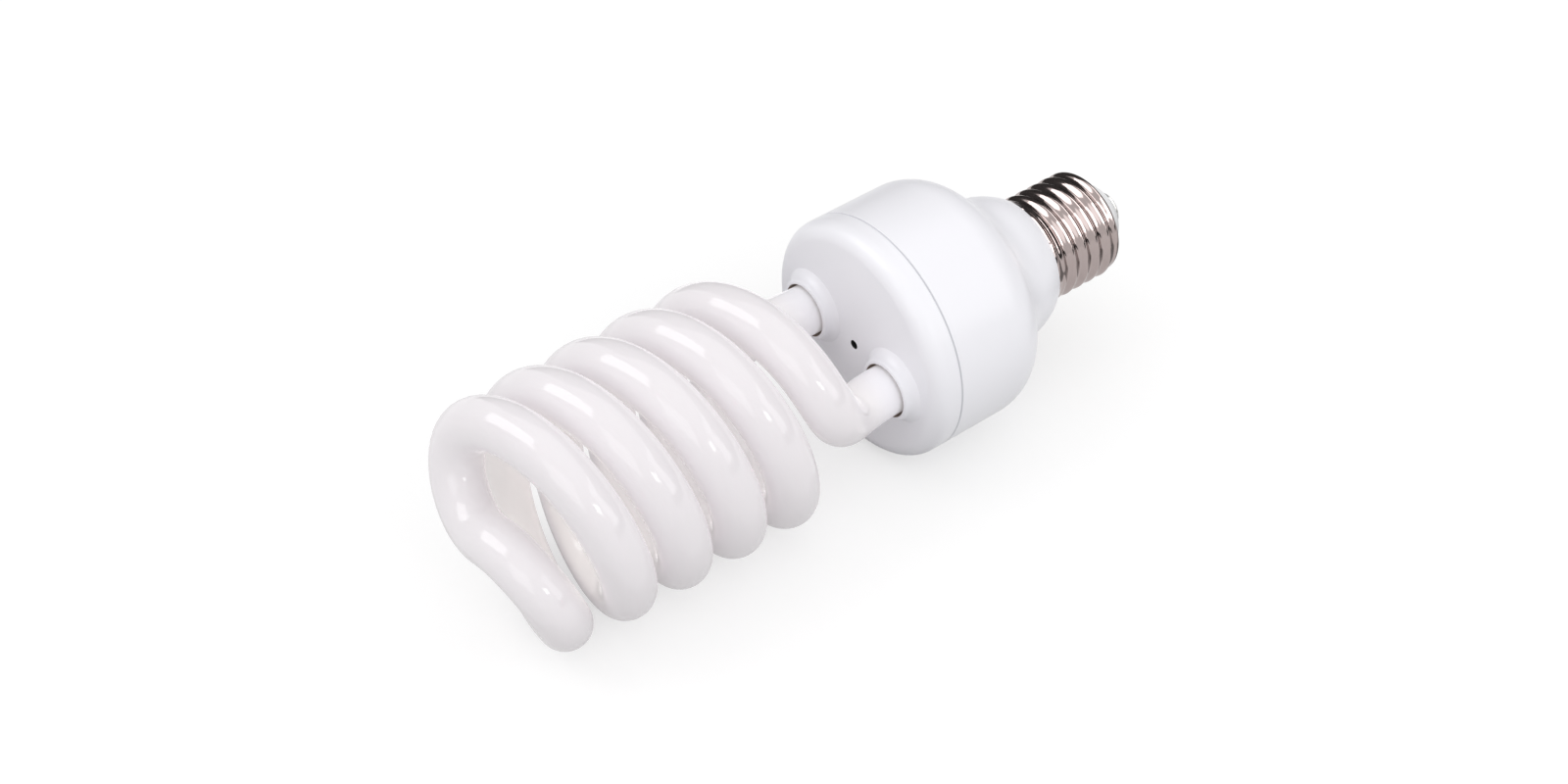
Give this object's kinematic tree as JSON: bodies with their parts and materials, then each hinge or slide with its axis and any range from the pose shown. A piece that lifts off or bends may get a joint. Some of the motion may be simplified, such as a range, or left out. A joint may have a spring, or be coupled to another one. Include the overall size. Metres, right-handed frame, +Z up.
{
  "type": "photo studio bulb",
  "caption": "Spiral compact fluorescent lamp with a white coated double-helix tube, a two-part white ballast housing and an E27 screw cap.",
  "frame": {"origin": "on the surface that the lamp lies on, below the middle of its length", "axes": "+X along the lamp's axis towards the screw cap, +Z up"},
  "size_m": [0.181, 0.0584, 0.0584],
  "materials": {
    "coated_glass": "gloss, coated white inside so nothing shows through",
    "white_housing": "satin moulded",
    "nickel": "bright nickel plate",
    "white_insulator": "smooth",
    "solder": "tinned",
    "cement": "matte silicone",
    "tinned_wire": "tinned",
    "board": "paper laminate",
    "ferrite": "matte",
    "bobbin": "moulded",
    "copper": "enamelled wire",
    "black_sleeve": "shrink sleeve",
    "black_moulding": "moulded",
    "film_capacitor": "dipped",
    "resistor_body": "coated",
    "wire_insulation": "smooth"
  },
  "bodies": {
    "root": {"spiral_tube": "coated_glass", "tube_holder": "white_housing", "ballast_case": "white_housing", "screw_cap": "nickel", "cap_insulator": "white_insulator", "centre_contact": "solder", "leg_cement": "cement", "filament_leads": "tinned_wire", "circuit_board": "board", "choke_core": "ferrite", "choke_bobbin": "bobbin", "choke_winding": "copper", "smoothing_capacitor": "black_sleeve", "drive_toroid": "ferrite", "transistor_a": "black_moulding", "transistor_b": "black_moulding", "tank_capacitor": "film_capacitor", "coupling_capacitor": "film_capacitor", "rectifier_diodes": "black_moulding", "fuse_resistor": "resistor_body", "live_lead": "wire_insulation", "neutral_lead": "wire_insulation"}
  },
  "joints": []
}
